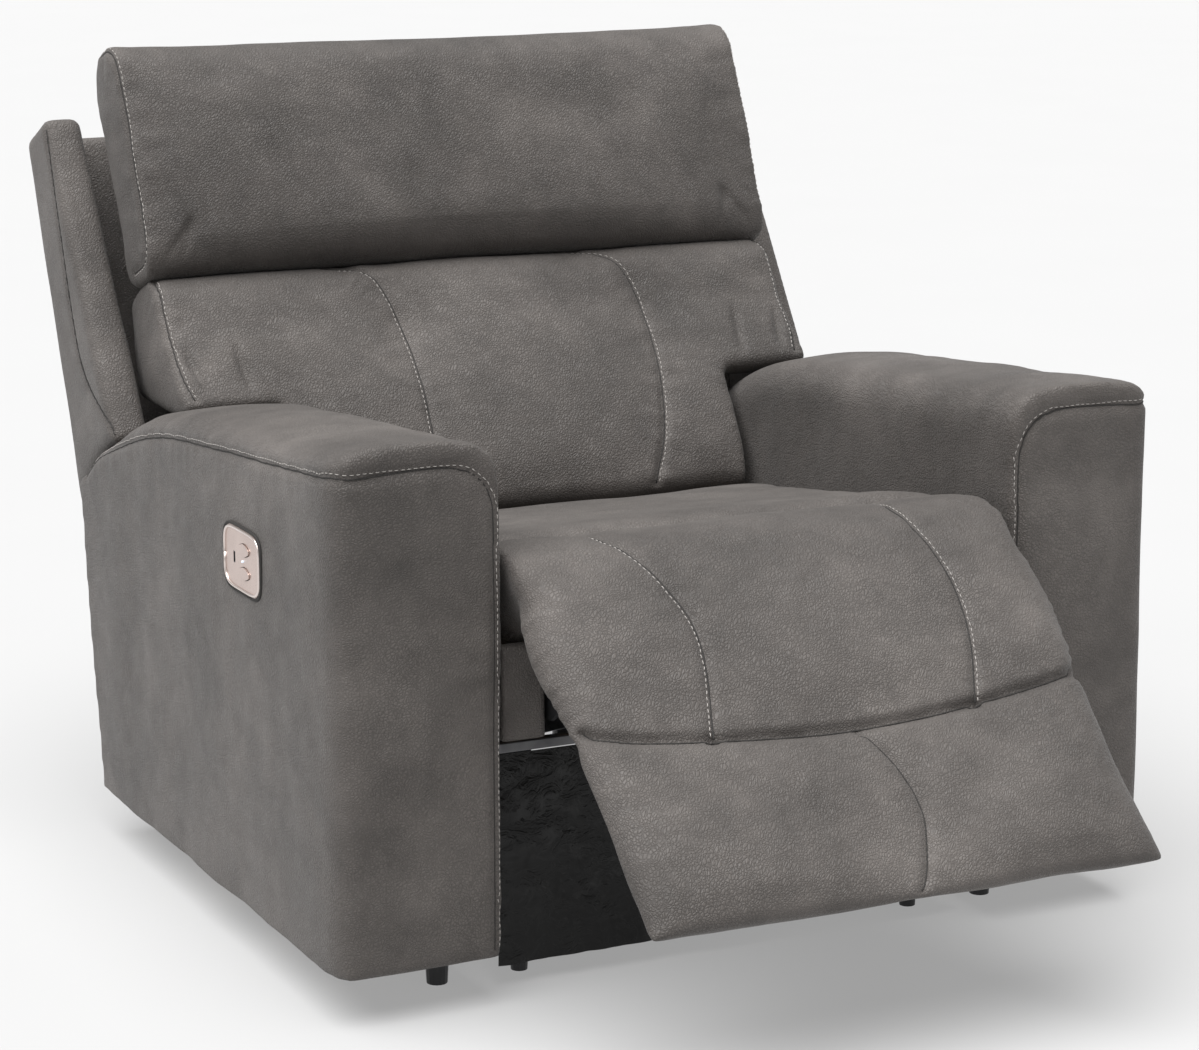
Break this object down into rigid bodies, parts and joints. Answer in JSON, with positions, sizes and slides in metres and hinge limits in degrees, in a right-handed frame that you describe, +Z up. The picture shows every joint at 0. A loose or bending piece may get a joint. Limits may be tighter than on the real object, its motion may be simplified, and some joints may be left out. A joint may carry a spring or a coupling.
{
  "type": "power recliner armchair",
  "caption": "Wide padded recliner armchair with a lifting footrest, tilting headrest, reclining back and a push-button panel on the side of one arm.",
  "frame": {"origin": "on the floor, under the middle of the chair's box", "axes": "+Z up, front towards -Y, the sitter's right towards -X; X is the width, across the seat"},
  "size_m": [1.0855, 1.511, 1.0254],
  "materials": {
    "leather": "pebbled warm grey upholstery leather, matt, light grey stitching",
    "black_cloth": "thin black dust-cover cloth with a soft sheen",
    "black_steel": "black painted steel, satin",
    "grey_steel": "zinc-grey steel, satin",
    "spring_steel": "bare spring steel",
    "wood": "raw sawn plywood",
    "black_plastic": "black moulded plastic",
    "champagne": "champagne coloured metallic plastic, satin",
    "lamp": "clear lamp"
  },
  "bodies": {
    "base": {"arm_cover_left": "leather", "arm_cover_right": "leather", "arm_frame_left": "wood", "arm_frame_right": "wood", "arm_foot_front_left": "black_plastic", "arm_foot_front_right": "black_plastic", "arm_foot_rear_left": "black_plastic", "arm_foot_rear_right": "black_plastic", "control_bezel": "champagne", "control_housing": "black_plastic", "usb_socket": "grey_steel", "indicator_lamp": "lamp", "base_rail_left": "black_steel", "base_rail_right": "black_steel", "mechanism_plate_left": "black_steel", "mechanism_plate_right": "black_steel", "front_cross_rail": "black_steel", "rear_cross_rail": "black_steel", "power_inlet": "black_plastic", "base_foot_front_left": "black_plastic", "base_foot_front_right": "black_plastic", "base_foot_rear_left": "black_plastic", "base_foot_rear_right": "black_plastic"},
    "seat": {"seat_rail_left": "black_steel", "seat_rail_right": "black_steel", "seat_frame": "wood", "seat_springs": "spring_steel", "seat_cushion": "leather", "seat_apron": "leather", "front_upper_bar": "grey_steel", "front_dust_cover": "black_cloth", "motor_cross_tube": "grey_steel", "drive_motor": "black_plastic", "drive_screw": "spring_steel"},
    "crank": {"torque_tube": "black_steel"},
    "push_rods": {"push_rod_left": "grey_steel", "push_rod_right": "grey_steel"},
    "drive_nut": {"drive_nut": "black_plastic"},
    "drive_link": {"drive_link": "grey_steel"},
    "footrest": {"footrest_bracket_left": "black_steel", "footrest_bracket_right": "black_steel", "footrest_board": "wood", "footrest_pad_upper": "leather", "footrest_pad_lower": "leather"},
    "back": {"back_frame": "wood", "back_wing_left": "leather", "back_wing_right": "leather", "back_hinge_arm_left": "black_steel", "back_hinge_arm_right": "black_steel", "back_panel_upper": "leather", "back_panel_lower": "leather", "lumbar_cushion": "leather", "headrest_motor": "black_plastic"},
    "headrest_rod": {"headrest_rod": "spring_steel"},
    "headrest": {"headrest_bracket": "black_steel", "headrest_board": "wood", "head_cushion": "leather"},
    "rocker_upper": {"rocker_upper": "champagne"},
    "rocker_lower": {"rocker_lower": "champagne"}
  },
  "joints": [
    {"name": "back_recline", "type": "hinge", "parent": "base", "child": "back", "pos_m": [0, 0.3511, 0.323], "axis": [-1, 0, 0], "range_deg": [0, 38]},
    {"name": "seat_slide", "type": "slide", "parent": "base", "child": "seat", "axis": [0, -1, 0], "range_m": [0, 0.06]},
    {"name": "footrest_lift", "type": "hinge", "parent": "seat", "child": "footrest", "pos_m": [0, -0.4224, 0.425], "axis": [-1, 0, 0], "range_deg": [-38, 42]},
    {"name": "crank_turn", "type": "hinge", "parent": "seat", "child": "crank", "pos_m": [0, -0.2274, 0.355], "axis": [-1, 0, 0], "range_deg": [-38.5, 42.5]},
    {"name": "push_rod_swing", "type": "hinge", "parent": "crank", "child": "push_rods", "pos_m": [0, -0.2424, 0.28], "axis": [-1, 0, 0], "range_deg": [-42.5, 38.5]},
    {"name": "drive_link_swing", "type": "hinge", "parent": "crank", "child": "drive_link", "pos_m": [0, -0.2274, 0.28], "axis": [-1, 0, 0], "range_deg": [-42.5, 38.5]},
    {"name": "nut_travel", "type": "slide", "parent": "seat", "child": "drive_nut", "axis": [0, -1, 0], "range_m": [-0.047, 0.052]},
    {"name": "headrest_tilt", "type": "hinge", "parent": "back", "child": "headrest", "pos_m": [0, 0.5014, 0.7692], "axis": [1, 0, 0], "range_deg": [0, 38]},
    {"name": "headrest_rod_travel", "type": "slide", "parent": "back", "child": "headrest_rod", "axis": [0, 0.3795, 0.9252], "range_m": [0, 0.078]},
    {"name": "rocker_upper_press", "type": "hinge", "parent": "base", "child": "rocker_upper", "pos_m": [-0.538, -0.1262, 0.504], "axis": [0, 0, 1], "range_deg": [-5, 5], "stiffness_Nm_per_rad": 0.5},
    {"name": "rocker_lower_press", "type": "hinge", "parent": "base", "child": "rocker_lower", "pos_m": [-0.538, -0.1262, 0.476], "axis": [0, 0, 1], "range_deg": [-5, 5], "stiffness_Nm_per_rad": 0.5}
  ],
  "couplings": [
    {"joint": "seat_slide", "follows": "back_recline", "m_per_rad": 0.09},
    {"joint": "crank_turn", "follows": "footrest_lift", "ratio": 1},
    {"joint": "push_rod_swing", "follows": "footrest_lift", "ratio": -1},
    {"joint": "drive_link_swing", "follows": "footrest_lift", "ratio": -1},
    {"joint": "nut_travel", "follows": "footrest_lift", "m_per_rad": 0.069},
    {"joint": "headrest_rod_travel", "follows": "headrest_tilt", "m_per_rad": 0.1163}
  ]
}
